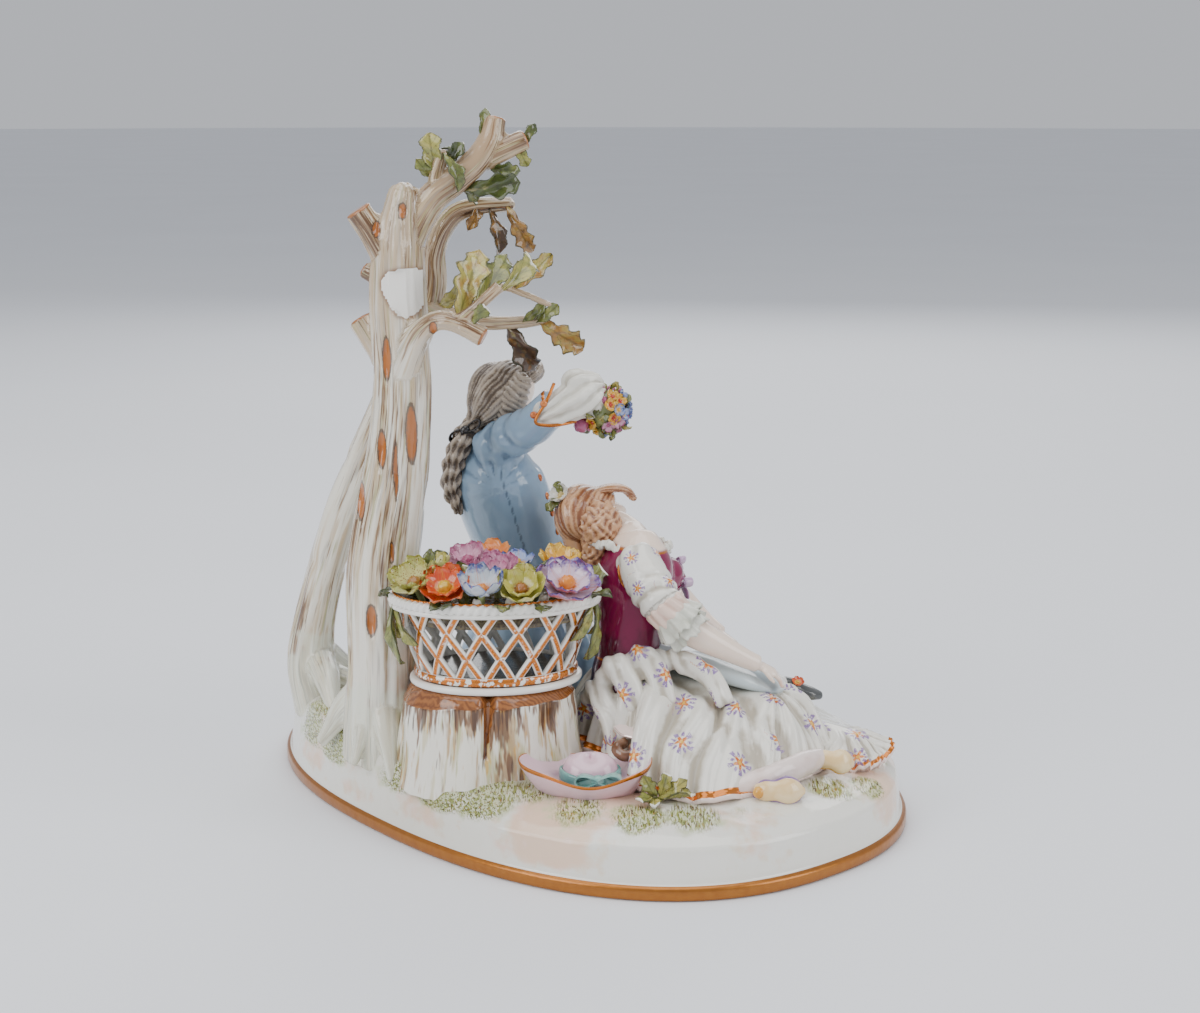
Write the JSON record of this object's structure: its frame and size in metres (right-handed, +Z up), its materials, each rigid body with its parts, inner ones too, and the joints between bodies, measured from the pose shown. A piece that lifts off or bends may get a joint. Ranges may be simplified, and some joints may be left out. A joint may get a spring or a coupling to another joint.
{
  "type": "porcelain figure group",
  "caption": "Glazed porcelain group of a seated gentleman and a sleeping lady under an oak, with a pierced basket of flowers, on an oval plinth.",
  "frame": {"origin": "centre of the oval plinth, on its flat underside", "axes": "+X along the plinth's long axis, +Y across it away from the side with the tree, +Z up"},
  "size_m": [0.296, 0.211, 0.28],
  "materials": {
    "painted_porcelain": "clear glossy glaze over enamel colours",
    "unglazed_porcelain": "matt, where a piece has broken away",
    "gilding": "worn satin gold"
  },
  "bodies": {
    "root": {"figure_group": "painted_porcelain"}
  },
  "joints": []
}
